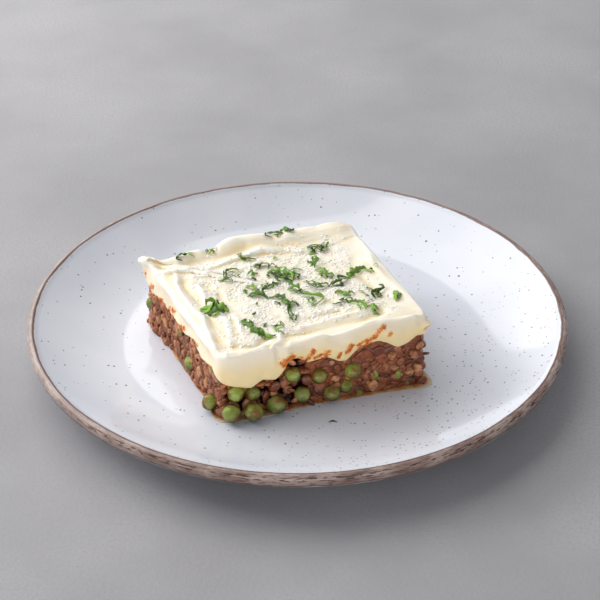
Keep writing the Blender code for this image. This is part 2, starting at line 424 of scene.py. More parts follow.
def new_group(name, inputs, output, kind):
    """Node group, the way to add nodes to it, its input sockets and its one output socket."""
    group = bpy.data.node_groups.new(name, "ShaderNodeTree")
    for socket, value in inputs.items():
        made = group.interface.new_socket(name=socket, in_out="INPUT", socket_type="NodeSocketFloat")
        made.default_value = value
    group.interface.new_socket(name=output, in_out="OUTPUT", socket_type=kind)
    shading = Shading(group)
    given = shading.add("NodeGroupInput").outputs
    return group, shading, given, shading.add("NodeGroupOutput").inputs[0]


def make_speckle_group():
    """Round specks of uneven size: the mask is 1 in them. Amount is the share of cells with one."""
    inputs = {"Scale": 300.0, "Amount": 0.2, "Size": 0.3, "Shift": 0.0}
    group, shading, given, mask = new_group("speckle", inputs, "Mask", "NodeSocketFloat")
    shifted = shading.vectors("ADD", shading.place(), given["Shift"])[0]
    bent = shading.noise(900.0, 1.0, shifted, "Color")
    pushed = shading.vectors("MULTIPLY_ADD", bent, SPECK_BEND, shifted)[0]
    cells = shading.add("ShaderNodeTexVoronoi", {"Vector": pushed, "Scale": given["Scale"]}).outputs
    chance = shading.add("ShaderNodeSeparateColor", {0: cells["Color"]}).outputs
    there = shading.maths("LESS_THAN", chance["Red"], given["Amount"])
    radius = shading.times(chance["Green"], given["Size"])
    inside = shading.maths("SUBTRACT", radius, cells["Distance"])
    shading.put(mask, shading.times(shading.steps(inside, 0.0, 0.06), there))
    return group


def make_mottle_group():
    """Uneven patches: the mask goes from 0 to 1 between Low and High of a noise."""
    inputs = {"Scale": 100.0, "Detail": 4.0, "Low": 0.4, "High": 0.6, "Warp": 0.0}
    group, shading, given, mask = new_group("mottle", inputs, "Mask", "NodeSocketFloat")
    cloud = shading.noise(given["Scale"], given["Detail"], Distortion=given["Warp"])
    shading.put(mask, shading.steps(cloud, given["Low"], given["High"]))
    return group


def make_bump_group():
    """Fine uneven grain as a normal."""
    inputs = {"Scale": 400.0, "Detail": 4.0, "Strength": 0.3, "Depth": 0.3 * MM}
    group, shading, given, normal = new_group("fine_grain", inputs, "Normal", "NodeSocketVector")
    cloud = shading.noise(given["Scale"], given["Detail"])
    bump = {"Height": cloud, "Strength": given["Strength"], "Distance": given["Depth"]}
    shading.put(normal, shading.add("ShaderNodeBump", bump).outputs[0])
    return group


SPECKLE = make_speckle_group()
MOTTLE = make_mottle_group()
FINE_GRAIN = make_bump_group()


def new_material(name, **values):
    """The way to add nodes to a new material, whose shader has the values given."""
    material = bpy.data.materials.new(name)
    material.use_nodes = True
    sockets = material.node_tree.nodes["Principled BSDF"].inputs
    for socket, value in values.items():
        sockets[socket.replace("_", " ")].default_value = value
    return Shading(material.node_tree, material, sockets)


# ---------------------------------------------------------------- plate


def arc(centre, radius, start, end, steps):
    angles = np.radians(np.linspace(start, end, steps + 1))
    return [(centre[0] + radius * math.cos(a), centre[1] + radius * math.sin(a)) for a in angles]


def plate_profile():
    """Radius and height of the plate's rings, from the well out over the rim and in underneath."""
    rim_centre = (PLATE_RADIUS - RIM_RADIUS, PLATE_HEIGHT - RIM_RADIUS)
    rim = arc(rim_centre, RIM_RADIUS, RIM_INNER_ANGLE, 0, RIM_STEPS)
    rim_foot = (PLATE_RADIUS - RIM_TAPER, PLATE_HEIGHT - RIM_DROP - RIM_RADIUS / 2)
    under_start = (FOOT_RADIUS + 3 * MM, FLOOR_THICKNESS / 2)
    recess = FLOOR_TOP - FLOOR_THICKNESS
    foot_inner = FOOT_RADIUS - FOOT_WIDTH

    well = [(WELL_RADIUS * share, FLOOR_TOP) for share in (0.08, 0.35, 0.6, 0.8, 0.92)]
    wall = []
    for share in np.arange(WALL_STEPS) / WALL_STEPS:
        radius = WELL_RADIUS + (rim[0][0] - WELL_RADIUS) * share
        wall.append((radius, FLOOR_TOP + (rim[0][1] - FLOOR_TOP) * share**WALL_POWER))
    underside = []
    for share in 1 - np.arange(WALL_STEPS) / WALL_STEPS:
        radius = under_start[0] + (rim_foot[0] - under_start[0]) * share
        rise = (rim_foot[1] - under_start[1]) * share**UNDERSIDE_POWER
        underside.append((radius, under_start[1] + rise))
    foot = arc((FOOT_RADIUS - FOOT_ROUNDING, FOOT_ROUNDING), FOOT_ROUNDING, 0, -90, FOOT_STEPS)
    foot += arc((foot_inner + FOOT_ROUNDING, FOOT_ROUNDING), FOOT_ROUNDING, -90, -180, FOOT_STEPS)
    base = [(foot_inner, recess), (foot_inner * 0.97, recess), (foot_inner * 0.1, recess)]
    return well + wall + rim + underside + foot + base


def make_plate_material():
    """Off-white speckled glaze, worn through to brown clay all over the rim."""
    shading = new_material("speckled_glaze", Roughness=GLAZE_ROUGHNESS, IOR=1.5)
    glaze = shading.mix(shading.mottle(22, 2, 0.3, 0.75), (219, 222, 231), (228, 230, 238))
    glaze = shading.mix(shading.speckle(170, 0.5, 0.2, 3), glaze, (150, 142, 138), 0.3)
    glaze = shading.mix(shading.speckle(380, 0.4, 0.24, 0), glaze, (84, 72, 68), 0.85)
    glaze = shading.mix(shading.speckle(130, 0.12, 0.12, 7), glaze, (52, 42, 40))

    # More specks towards the right front
    x, y, z = shading.add("ShaderNodeSeparateXYZ", {0: shading.place()}).outputs
    across = shading.maths("SUBTRACT", x, y)
    dusted = shading.steps(across, 0.04, 0.13)
    dust = shading.times(shading.speckle(520, 0.5, 0.3, 5), dusted)
    glaze = shading.mix(dust, glaze, (92, 82, 82))

    # The rim lies past an inner radius and above a low edge, both a little wavy
    flat = shading.add("ShaderNodeCombineXYZ", {0: x, 1: y}).outputs[0]
    radius = shading.vectors("LENGTH", flat)["Value"]
    wander = shading.times(shading.noise(55, 3), 1.6 * MM)
    reach = shading.maths("ADD", radius, wander)
    drop = shading.maths("ADD", z, wander)
    past_inner = shading.steps(reach, CLAY_RADIUS, CLAY_RADIUS + CLAY_FADE)
    above_low = shading.steps(drop, CLAY_LOW_EDGE, CLAY_LOW_EDGE + CLAY_FADE)
    rim = shading.times(past_inner, above_low)

    # Streaks run along the rim, darkest on its outer edge at the right front
    over_rim = shading.maths("SUBTRACT", radius, z)
    level = shading.add("ShaderNodeCombineXYZ", {2: shading.times(over_rim, 2.5)}).outputs[0]
    around = shading.vectors("NORMALIZE", flat)[0]
    drawn = shading.vectors("MULTIPLY_ADD", around, STREAK_LENGTH, level)[0]
    dark = shading.steps(shading.noise(430, 7, drawn), 0.50, 0.58)
    edge_line = shading.maths("SUBTRACT", z, PLATE_HEIGHT - 1.5 * MM)
    by_line = shading.steps(shading.maths("ABSOLUTE", edge_line), 1.3 * MM, 0.3 * MM)
    turned = shading.maths("ADD", across, shading.times(wander, 20))
    # Share towards the right front: the rim's clay is paler towards the back left, and its dark streaks are
    # stronger towards the right front
    right_front_share = shading.steps(turned, -0.10, 0.10)
    drawn_line = shading.maths("ADD", shading.times(by_line, 0.5), 0.35)
    stronger = shading.maths("ADD", shading.times(right_front_share, drawn_line), 0.16)

    clay = shading.mix(shading.mottle(75, 5, 0.4, 0.62, 0.4), (144, 120, 112), (172, 152, 144))
    pale = shading.maths("SUBTRACT", 0.3, shading.times(right_front_share, 0.3))
    clay = shading.mix(pale, clay, (196, 186, 180))
    clay = shading.mix(shading.times(dark, stronger), clay, (78, 54, 47))
    lip = shading.steps(reach, CLAY_RADIUS + 1.9 * MM, CLAY_RADIUS + 0.9 * MM)
    clay = shading.mix(lip, clay, (104, 76, 68), 0.9)
    foot = shading.steps(drop, CLAY_LOW_EDGE + 1.4 * MM, CLAY_LOW_EDGE + 0.7 * MM)
    clay = shading.mix(foot, clay, (112, 88, 78), 0.7)

    finish = {"Value": rim, "To Min": GLAZE_ROUGHNESS, "To Max": CLAY_ROUGHNESS}
    rough = shading.add("ShaderNodeMapRange", finish).outputs[0]
    shading.put(shading.sockets["Roughness"], rough)
    return shading.painted(shading.mix(rim, glaze, clay), 160, 0.05, Detail=2.0)


def build_plate():
    """Ring by ring: each ring is extruded from the last one, resized and moved to its height."""
    profile = plate_profile()
    radius, height = profile[0]
    circle = {"vertices": PLATE_STEPS, "radius": radius, "location": (0, 0, height)}
    plate = start_from(bpy.ops.mesh.primitive_circle_add, **circle)
    bpy.ops.object.transform_apply(location=True)
    bpy.ops.object.mode_set(mode="EDIT")
    for next_radius, next_height in profile[1:]:
        bpy.ops.mesh.extrude_edges_move()
        growth = next_radius / radius
        bpy.ops.transform.resize(value=(growth, growth, 1), center_override=(0, 0, 0))
        bpy.ops.transform.translate(value=(0, 0, next_height - height))
        radius, height = next_radius, next_height
    bpy.ops.mesh.edge_face_add()
    bpy.ops.mesh.select_all(action="DESELECT")
    bpy.ops.mesh.select_non_manifold()
    bpy.ops.mesh.edge_face_add()
    bpy.ops.mesh.select_all(action="SELECT")
    bpy.ops.mesh.normals_make_consistent(inside=False)
    bpy.ops.object.mode_set(mode="OBJECT")
    return finish_piece(plate, "coupe_plate", make_plate_material(), "speckled_glaze", "plate")


# ---------------------------------------------------------------- mash

# Marks of the palette knife: points in s and t, width and rise in millimetres, and lean, which makes
# one side steeper
STROKES = (
    (((-0.94, -0.72), (-0.87, -0.25), (-0.91, 0.20), (-0.86, 0.60)), 1.9, 1.3, 0.5),
    (((-0.80, -0.70), (-0.70, -0.35), (-0.75, 0.05), (-0.70, 0.38)), 1.6, 1.3, 0.5),
    (((-0.66, -0.66), (-0.60, -0.38), (-0.66, -0.10)), 1.4, 0.8, 0.5),
    (((-0.87, -0.66), (-0.79, -0.20), (-0.83, 0.45)), 2.6, -1.2, 0.0),
    (((-0.70, 0.42), (-0.56, 0.20), (-0.60, -0.05)), 1.7, -0.8, 0.0),
    (((-0.92, 0.70), (-0.62, 0.64), (-0.30, 0.70), (0.05, 0.73), (0.36, 0.60)), 2.0, 1.6, -0.5),
    (((-0.72, 0.52), (-0.40, 0.50), (-0.05, 0.56)), 1.5, 0.8, -0.4),
    (((-0.92, 0.84), (-0.55, 0.80), (-0.10, 0.86)), 2.6, -1.1, 0.0),
    (((-1.02, 1.02), (-0.95, 0.94)), 2.4, 2.4, 0.0),
    (((-0.90, 0.94), (-0.72, 1.00)), 2.0, 1.2, 0.3),
    (((-0.62, 0.97), (-0.50, 0.95)), 4.0, 3.8, 0.0),
    (((-0.28, 0.98), (-0.05, 1.00)), 5.5, 3.8, 0.0),
    (((-0.05, 1.02), (0.10, 1.02), (0.30, 1.00)), 8.5, 5.6, 0.0),
    (((0.25, 0.98), (0.50, 0.98), (0.84, 0.92)), 9.0, 3.6, 0.0),
    (((0.45, 0.56), (0.72, 0.60), (0.96, 0.70)), 1.4, -0.4, 0.3),
    (((-0.32, -0.95), (0.05, -0.99), (0.50, -0.94), (0.93, -0.98)), 1.2, 2.2, 0.5),
    (((-0.30, -0.82), (0.20, -0.84), (0.62, -0.78)), 2.6, -1.5, 0.0),
    (((-0.12, -0.70), (0.25, -0.72), (0.66, -0.64)), 1.5, 1.0, 0.4),
    (((-0.02, -0.58), (0.30, -0.60)), 1.8, -0.7, 0.0),
    (((-0.94, -0.90), (-0.74, -0.97), (-0.56, -0.93)), 2.4, 1.7, 0.3),
    (((-0.76, -0.80), (-0.60, -0.86), (-0.47, -0.76)), 2.4, -1.9, 0.0),
    (((-0.50, -1.00), (-0.40, -0.90), (-0.34, -0.74)), 1.4, 1.9, 0.5),
    (((0.95, -0.75), (0.90, -0.10), (0.95, 0.55)), 2.2, 1.0, 0.0),
    (((0.76, -0.50), (0.70, 0.00), (0.78, 0.35)), 2.6, -1.0, 0.0),
)


def beside_line(place, line):
    """Distance of each place from a line through points, less than 0 on its right."""
    nearest = np.full(len(place), 1.0)
    for first, last in zip(line[:-1], line[1:]):
        along = last - first
        share = np.clip((place - first) @ along / (along @ along), 0, 1)
        away = place - first - share[:, None] * along
        distance = np.linalg.norm(away, axis=1) * np.sign(away @ np.array([-along[1], along[0]]) + 1e-12)
        nearest = np.where(abs(distance) < abs(nearest), distance, nearest)
    return nearest


def stroke_relief(place):
    """Height that the knife's marks add to the mash, or take from it."""
    flat = in_space(place, 0)
    place = place + 1.7 * MM * np.column_stack([ripple(flat, 16 * MM, 3.1), ripple(flat, 16 * MM, 8.7)])
    strength = 0.8 + 0.75 * ripple(flat, 13 * MM, 12.4)
    height = np.zeros(len(place))
    for line, width, rise, lean in STROKES:
        distance = beside_line(place, plan_point(*np.array(line).T))
        spread = width * MM * (1 - lean * np.tanh(distance / (0.5 * MM)))
        height += rise * MM * bell(distance, spread)
    return height * np.clip(strength, 0.25, 1.3)


def mash_relief(s, t, place):
    """Height of the top of the mash above the table."""
    flat = in_space(place, 0)
    height = corner_mean(s, t, *CROWN) + stroke_relief(place)
    height += 0.7 * MM * ripple(flat, 22 * MM, 1.7) + 0.4 * MM * ripple(flat, 8.5 * MM, 5.2)
    middle = smoothed_step(1 - np.maximum(abs(s + 0.05), abs(t)), 0.12, 0.4)
    height += middle * (0.26 * MM * ripple(flat, 3.6 * MM, 2.2) + 0.07 * MM * ripple(flat, 1.6 * MM))
    turned = in_space(np.column_stack([s, t]), 0)
    drags = ripple(turned, 0.035, 4.4, (1, 12, 1)) * smoothed_step(-s, 0.45, 0.6)
    drags += ripple(turned, 0.035, 9.3, (12, 1, 1)) * smoothed_step(abs(t), 0.6, 0.75)
    ragged = smoothed_step(np.maximum(t, -s), 0.8, 1.0) * ripple(flat, 4.5 * MM, 15.5)
    height += 0.16 * MM * drags + 0.55 * MM * ragged
    return held_under(height, MASH_FULL_HEIGHT, MASH_SPARE_HEIGHT)


# How tight the shoulder of the mash is, and how far it hangs over, as laps and shares
TIGHTNESS = (
    (0, 0.9), (0.1, 0.5), (0.9, 0.6), (1.1, 1), (2.9, 1), (3, 0.5), (3.1, 1), (3.9, 1), (4, 0.9),
)  # fmt: skip
OVERHANG = ((0, 1), (2.95, 1), (3.1, 0.3), (3.3, -0.9), (3.85, -0.9), (4, 1))
# Depth of the painted shade on the sides of the mash, a darker yellow cream, as laps and shares
SIDE_SHADE_DEPTH = ((0, 1), (1, 1), (1.1, 0.7), (2.9, 0.7), (3, 0.35), (3.9, 0.35), (4, 1))
LEFT_TIP = 5.0 * MM
RIGHT_TIP = 2.4 * MM
PLEAT_DEPTH = 1.3 * MM


def by_lap(lap, table):
    """Value at each lap, from a table of laps and values."""
    return np.interp(lap, *np.array(table, float).T)


def mash_surface(u, v):
    """The mash's points for a square grid: its middle is the top, its border folds down the sides."""
    reach = np.maximum(abs(u), abs(v))
    lap = lap_of(u, v)
    rim, outward = MASH_OUTLINE.at(lap)
    inner = np.maximum(reach, MASH_TOP_SHARE)
    s, t = u / inner, v / inner
    pull = np.minimum(reach / MASH_TOP_SHARE, 1)[:, None] ** 3
    unevenness = 1 + 0.45 * ripple(in_space(rim, 0), 12 * MM, 21.0)
    shoulder = MASH_SHOULDER * by_lap(lap, TIGHTNESS) * unevenness
    inset = rim - shoulder[:, None] * outward
    place = plan_point(s, t) + pull * (inset - plan_point(*edge_directions(lap)))
    height = mash_relief(s, t, place)

    fold = np.clip((reach - MASH_TOP_SHARE) / (1 - MASH_TOP_SHARE), 0, 1)
    turn = np.clip(fold / 0.2, 0, 1) * math.pi / 2
    side = np.clip((fold - 0.2) / 0.55, 0, 1)
    curl = np.clip((fold - 0.75) / 0.15, 0, 1) * math.pi / 2
    tuck = np.clip((fold - 0.9) / 0.1, 0, 1)
    drop = height - hem_height(lap) - shoulder - MASH_HEM_RADIUS
    overhang = MASH_OVERHANG * by_lap(lap, OVERHANG)
    out = shoulder * np.sin(turn) + overhang * (0.6 * side + 0.8 * np.sin(math.pi * side))
    out -= MASH_HEM_RADIUS * (1 - np.cos(curl)) + MASH_TUCK * tuck
    down = shoulder * (1 - np.cos(turn)) + drop * side + MASH_HEM_RADIUS * np.sin(curl)
    down -= 1.2 * MM * tuck

    spot = in_space(rim, height - down)
    hanging = smoothed_step(fold, 0.05, 0.35) * (1 - tuck)
    swell = 1.3 * ripple(spot, 15 * MM, 6.1, (1, 1, 2.2)) + 0.35 * ripple(spot, 5.5 * MM, 2.9)
    pleat = bell(lap - 0.27, 0.018) - 0.8 * bell(lap - 0.315, 0.02)
    out += MM * hanging * swell - PLEAT_DEPTH * pleat * bell(fold - 0.22, 0.22)
    out += LEFT_TIP * bell(lap - 3.0, 0.022) * bell(fold - 0.06, 0.28)
    out += RIGHT_TIP * bell(lap - 1.0, 0.018) * bell(fold - 0.4, 0.1)
    return in_space(place + out[:, None] * outward, height - down), lap, fold


def mash_top(s, t):
    """Points on top of the mash at s and t."""
    return mash_surface(np.asarray(s) * MASH_TOP_SHARE, np.asarray(t) * MASH_TOP_SHARE)[0]


# Smears of rust-coloured sauce on the sides of the mash: from lap and height to lap and height, and
# spread, with heights and spreads in millimetres
STAINS = (
    (0.30, 33.0, 0.34, 35.0, 2.4), (0.33, 30.0, 0.37, 32.5, 2.4), (0.41, 32.0, 0.44, 36.5, 1.4),
    (0.45, 32.5, 0.51, 35.0, 1.2), (0.49, 31.0, 0.50, 33.0, 1.6), (0.555, 31.0, 0.565, 33.5, 1.0),
    (0.60, 33.5, 0.62, 36.5, 1.3), (0.655, 36.0, 0.685, 37.5, 1.1), (0.69, 37.0, 0.73, 39.0, 1.3),
    (0.73, 38.5, 0.75, 41.5, 1.1), (0.75, 41.5, 0.775, 43.5, 1.0), (0.80, 38.8, 0.806, 39.4, 0.9),
    (0.66, 33.5, 0.72, 35.5, 1.0), (0.985, 37.5, 0.995, 38.5, 1.1), (1.20, 32.5, 1.26, 34.0, 1.5),
    (1.58, 33.5, 1.64, 35.5, 1.3), (2.16, 31.0, 2.24, 32.5, 1.5), (2.56, 31.5, 2.64, 33.0, 1.3),
    (2.99, 29.0, 3.03, 33.5, 1.4), (3.06, 26.5, 3.12, 31.0, 1.3), (3.16, 26.0, 3.22, 28.0, 1.5),
    (3.30, 27.0, 3.37, 29.5, 1.2), (3.43, 25.5, 3.50, 27.5, 1.2), (3.62, 26.5, 3.68, 28.5, 1.2),
    (3.80, 25.5, 3.86, 27.0, 1.1),
)  # fmt: skip


def stain_mask(points, lap, fold):
    """How deep the sauce lies on each point of the mash, from 0 to 1."""
    unrolled = np.column_stack([lap * SIDE_LENGTH, points[:, 2]])
    mask = np.zeros(len(points))
    for first_lap, first_height, last_lap, last_height, spread in STAINS:
        first = (first_lap * SIDE_LENGTH, first_height * MM)
        last = (last_lap * SIDE_LENGTH, last_height * MM)
        away = beside_line(unrolled, np.array([first, last]))
        mask = np.maximum(mask, 0.85 * bell(away, spread * 1.4 * MM))
    hem = bell(points[:, 2] - hem_height(lap), 1.4 * MM) * 0.55
    return np.where(fold > 0.12, np.maximum(mask, hem), 0)


def hollowness(heights, cells):
    """How far each point of the square grid lies below the points that many cells away."""
    rows = heights.reshape(MASH_CELLS + 1, MASH_CELLS + 1)
    around = sum(np.roll(rows, shift, axis) for shift in (-cells, cells) for axis in (0, 1)) / 4
    return (around - rows).ravel()


def make_mash_material():
    """Moist cream potato with sauce soaked into its lower edge, painted shade in its hollows and on its
    sides, and a painted highlight on its ridges.
    """
    shading = new_material(
        "mashed_potato",
        Roughness=0.42,
        Subsurface_Weight=0.35,
        Subsurface_Scale=0.004,
        Subsurface_Radius=(1.0, 0.7, 0.35),
    )
    cream = shading.mix(shading.mottle(60, 4, 0.3, 0.7), (246, 237, 221), (243, 232, 209))
    # Painted shade: a darker yellow cream in the hollows of the top
    cream = shading.mix(shading.attribute("hollow_shade"), cream, (244, 220, 162), 0.55)
    # Painted shade: the sides turn a darker yellow cream, less of it on the left
    cream = shading.mix(shading.attribute("side"), cream, (244, 221, 168))
    # Painted highlight: near white on the ridges of the top and along its front lip
    cream = shading.mix(shading.attribute("ridge_highlight"), cream, (255, 252, 246), 0.8)
    cloud = shading.times(shading.noise(360, 6, Distortion=1.6), 1.7)
    torn = shading.maths("ADD", shading.attribute("stain"), cloud)
    cream = shading.mix(shading.steps(torn, 1.08, 1.56), cream, (238, 182, 98), 0.8)
    rust = shading.mix(shading.mottle(500), (226, 132, 46), (190, 86, 26))
    cream = shading.mix(shading.steps(torn, 1.38, 1.62), cream, rust)
    return shading.painted(cream, 700, 0.25, Detail=3.0, Depth=0.2 * MM)


def build_mash():
    mash = square_grid(MASH_CELLS)
    u, v = points_of(mash)[:, :2].T
    points, lap, fold = mash_surface(u, v)
    move_points(mash, points)
    add_attribute(mash.data, "stain", stain_mask(points, lap, fold))
    # Painted shade on the sides, by lap and by how far down the side a point lies
    add_attribute(mash.data, "side", by_lap(lap, SIDE_SHADE_DEPTH) * smoothed_step(fold, 0.12, 0.6))
    # Painted shade in the hollows of the top
    hollow_shade = smoothed_step(hollowness(points[:, 2], 6), 0, 0.35 * MM)
    # Painted highlight on the ridges of the top
    ridge_highlight = smoothed_step(-hollowness(points[:, 2], 3), 0.04 * MM, 0.3 * MM)
    add_attribute(mash.data, "hollow_shade", hollow_shade * (fold < 0.1))
    add_attribute(mash.data, "ridge_highlight", ridge_highlight * (1 - smoothed_step(fold, 0.06, 0.2)))
    close_underside(mash)
    return finish_piece(mash, "mash_topping", make_mash_material(), "mashed_potato", "mash")


# ---------------------------------------------------------------- filling


def filling_side(lap, height):
    """Place on the cut side of the filling, and the level direction out of it."""
    rim, outward = FILLING_OUTLINE.at(lap)
    level = np.clip((height - FILLING_BOTTOM) / (hem_height(lap) - FILLING_BOTTOM), 0, 1)
    out = FILLING_FLARE * ((1 - level) ** 2 - 1) + FILLING_SWELL * bell(lap - 3.14, 0.12)
    return in_space(rim + out[:, None] * outward, height), in_space(outward, 0)


def looseness(lap):
    """1 where peas and lentils lie loose with gaps between them, 0 where the cut is clean and firm."""
    return by_lap(lap, ((0, 1), (0.4, 1), (0.47, 0), (3.95, 0), (4, 1)))


def filling_surface(u, v):
    """The bed's points for a square grid: its middle is hidden and its border is the cut sides."""
    reach = np.maximum(abs(u), abs(v))
    lap = lap_of(u, v)
    level = np.clip((1 - reach) / (1 - FILLING_TOP_SHARE), 0, 1)
    height = FILLING_BOTTOM + (hem_height(lap) + FILLING_COVERED - FILLING_BOTTOM) * level
    edge, outward = filling_side(lap, height)
    spot = edge * (1, 1, 1.3)
    loose = looseness(lap)
    lumps = 0.5 * ripple(spot, 7 * MM, 1.2) + 0.4 * ripple(spot, 2.6 * MM, 7.7)
    gaps = smoothed_step(ripple(spot, 4.2 * MM, 3.3), -0.1, 0.5)
    out = (lumps - 0.55 - loose * (1.8 + 2.4 * gaps)) * MM
    points = edge + out[:, None] * outward
    middle = np.array(SLICE_MIDDLE[:2])
    share = np.minimum(reach / FILLING_TOP_SHARE, 1)[:, None]
    points[:, :2] = middle + (points[:, :2] - middle) * share
    # The second value is 1 where the bed stands out and 0 deep in its gaps, where the paste gets painted
    # shade
    return points, smoothed_step(out, -2.6 * MM, -0.5 * MM)


def make_filling_material():
    """Dark brown sauce and paste between the lentils, painted near black as shade deep in the gaps."""
    shading = new_material("lentil_paste", Roughness=0.34)
    paste = shading.mix(shading.mottle(150, 4, 0.38, 0.62), (116, 60, 36), (150, 88, 56))
    # Painted shade: near black where the bed lies deep between the lentils and peas
    paste = shading.mix(shading.attribute("unshaded_share"), (30, 12, 7), paste)
    paste = shading.mix(shading.mottle(260, 3, 0.62, 0.7), paste, (176, 92, 44))
    return shading.painted(paste, 900, 0.5)


def build_filling():
    bed = square_grid(FILLING_CELLS)
    u, v = points_of(bed)[:, :2].T
    points, unshaded_share = filling_surface(u, v)
    move_points(bed, points)
    add_attribute(bed.data, "unshaded_share", unshaded_share)
    close_underside(bed, shrink=0.3)
    return finish_piece(bed, "lentil_bed", make_filling_material(), "lentil_filling", "filling")


# ---------------------------------------------------------------- lentils, mince crumbs and peas


def pea_places():
    """Middle and half size of each pea, by its node's name."""
    places = {}
    for name in sorted(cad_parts):
        if name.startswith("pea_"):
            low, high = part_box(name)
            places[name] = ((low + high) / 2, (high - low) / 2)
    return places


PEAS = pea_places()


def spread_spots(candidates, spacing, clearance, seed):
    """Picks places out of random ones on the cut sides, with no two nearer than the spacing.

    candidates gives rows of first lap, last lap and how many to try there, and clearance how far
    a place may reach into a pea.
    """
    chance = np.random.default_rng(seed)
    laps = np.concatenate([chance.uniform(first, last, count) for first, last, count in candidates])
    laps = chance.permutation(laps)
    heights = FILLING_BOTTOM + (hem_height(laps) + 0.6 * MM - FILLING_BOTTOM) * chance.random(len(laps))
    places, outwards = filling_side(laps, heights)
    free = np.ones(len(laps), bool)
    for centre, half in PEAS.values():
        free &= np.linalg.norm(places - np.array(centre), axis=1) > half.x - clearance
    kept = []
    for index in np.flatnonzero(free):
        away = np.linalg.norm(places[kept] - places[index], axis=1) if kept else np.array([1.0])
        if away.min() > spacing:
            kept.append(index)
    return laps[kept], places[kept], outwards[kept]


def press_flat(obj, places, outwards, limits):
    """Presses each copy nearly flat where it would stand farther out of the cut than its limit."""
    points = points_of(obj)
    share = len(points) // len(places)
    places = np.repeat(places, share, axis=0)
    outwards = np.repeat(outwards, share, axis=0)
    over = np.maximum(((points - places) * outwards).sum(axis=1) - np.repeat(limits, share), 0)
    move_points(obj, points - 0.85 * over[:, None] * outwards)


def make_lentil_material():
    """Brown cooked lentils, some darker and some paler, wet with sauce."""
    shading = new_material(
        "cooked_lentils", Roughness=0.24, Subsurface_Weight=0.12, Subsurface_Scale=0.002
    )
    tint = shading.attribute("tint")
    brown = shading.mix(shading.steps(tint, 0.0, 0.6), (110, 54, 28), (148, 80, 44))
    brown = shading.mix(shading.steps(tint, 0.86, 1.0), brown, (196, 134, 88))
    brown = shading.mix(shading.mottle(420, 4, 0.42, 0.66), brown, (66, 32, 20), 0.6)
    brown = shading.mix(shading.mottle(120, 3, 0.6, 0.72), brown, (184, 98, 50), 0.5)
    return shading.painted(brown, 1100, 0.35)


# First lap, last lap and how many places to try there
FIRM_LENTILS = ((0.42, 1.0, 5200), (1.0, 3.05, 14000), (3.05, 3.9, 400))
LOOSE_LENTILS = ((-0.08, 0.43, 3000),)
CRUMBS = ((0.13, 0.32, 60), (0.5, 3.0, 260), (2.95, 4.0, 12000))


def build_lentils():
    """Lentils on the cut sides: packed where the cut is clean, and loose beside the peas."""
    chance = np.random.default_rng(21)
    firm = spread_spots(FIRM_LENTILS, 3.8 * MM, 0.9 * MM, 22)
    loose = spread_spots(LOOSE_LENTILS, 4.9 * MM, 2.6 * MM, 23)
    places, outwards = [np.concatenate(pair) for pair in zip(firm[1:], loose[1:])]
    is_loose = np.arange(len(places)) >= len(firm[0])
    matrices = []
    for place, outward, free in zip(places, outwards, is_loose):
        tilt = chance.normal(0, 0.5, 3) + (0, 0, 0.7) + outward * chance.uniform(0.0, 1.2)
        if free:
            tilt = chance.normal(0, 1, 3) + 0.5 * outward
        radius = chance.uniform(3.0, 4.3) * MM if free else chance.uniform(2.8, 4.3) * MM
        depth = chance.uniform(-1.4, 1.2) if free else chance.uniform(-0.7, -0.2)
        size = radius * np.array([1, chance.uniform(0.65, 0.9), chance.uniform(0.24, 0.38)])
        centre = Vector(place + depth * MM * outward)
        matrices.append(turned_matrix(centre, tilt, chance.uniform(0, FULL_TURN), size))
    lentil = start_from(bpy.ops.mesh.primitive_uv_sphere_add, segments=12, ring_count=7, radius=1)
    tints = chance.random(len(places)) * np.where(is_loose, 1.0, 0.93)
    lentils = joined_copies("lentils", lentil, matrices, tints)
    limits = np.where(is_loose, 1.8, chance.uniform(-0.3, 0.05, len(places))) * MM
    press_flat(lentils, places, outwards, limits)
    return finish_piece(lentils, "lentils", make_lentil_material(), "lentil_filling")


def make_crumb_material():
    """Matte mince-like crumbs with orange and olive bits among them."""
    shading = new_material("mince_crumbs", Roughness=0.5)
    tint = shading.attribute("tint")
    brown = shading.mix(shading.steps(tint, 0.0, 0.5), (128, 76, 50), (176, 112, 76))
    brown = shading.mix(shading.steps(tint, 0.6, 0.9), brown, (206, 146, 102))
    brown = shading.mix(shading.mottle(300, 4, 0.58, 0.66), brown, (208, 116, 58), 0.85)
    brown = shading.mix(shading.maths("GREATER_THAN", tint, 0.97), brown, (132, 124, 52))
    brown = shading.mix(shading.mottle(600, 4, 0.4, 0.66), brown, (70, 36, 26), 0.5)
    return shading.painted(brown, 1000, 1.0)


def build_crumbs():
    chance = np.random.default_rng(31)
    _, places, outwards = spread_spots(CRUMBS, 2.6 * MM, 2.0 * MM, 32)
    matrices = []
    for place, outward in zip(places, outwards):
        radius = chance.uniform(1.2, 3.1) * MM
        size = radius * chance.uniform(0.5, 1.1, 3)
        centre = Vector(place + chance.uniform(-1.5, 0.3) * MM * outward)
        axis = chance.normal(size=3)
        matrices.append(turned_matrix(centre, axis, chance.uniform(0, FULL_TURN), size))
    crumb = start_from(bpy.ops.mesh.primitive_ico_sphere_add, subdivisions=3, radius=1)
    shape = points_of(crumb)
    swell = 1 + 0.3 * ripple(shape, 0.8, 2.0) + 0.14 * ripple(shape, 0.35, 6.0)
    move_points(crumb, shape * swell[:, None])
    crumbs = joined_copies("mince_crumbs", crumb, matrices, chance.random(len(places)))
    press_flat(crumbs, places, outwards, chance.uniform(0.3, 1.6, len(places)) * MM)
    return finish_piece(crumbs, "mince_crumbs", make_crumb_material(), "lentil_filling")


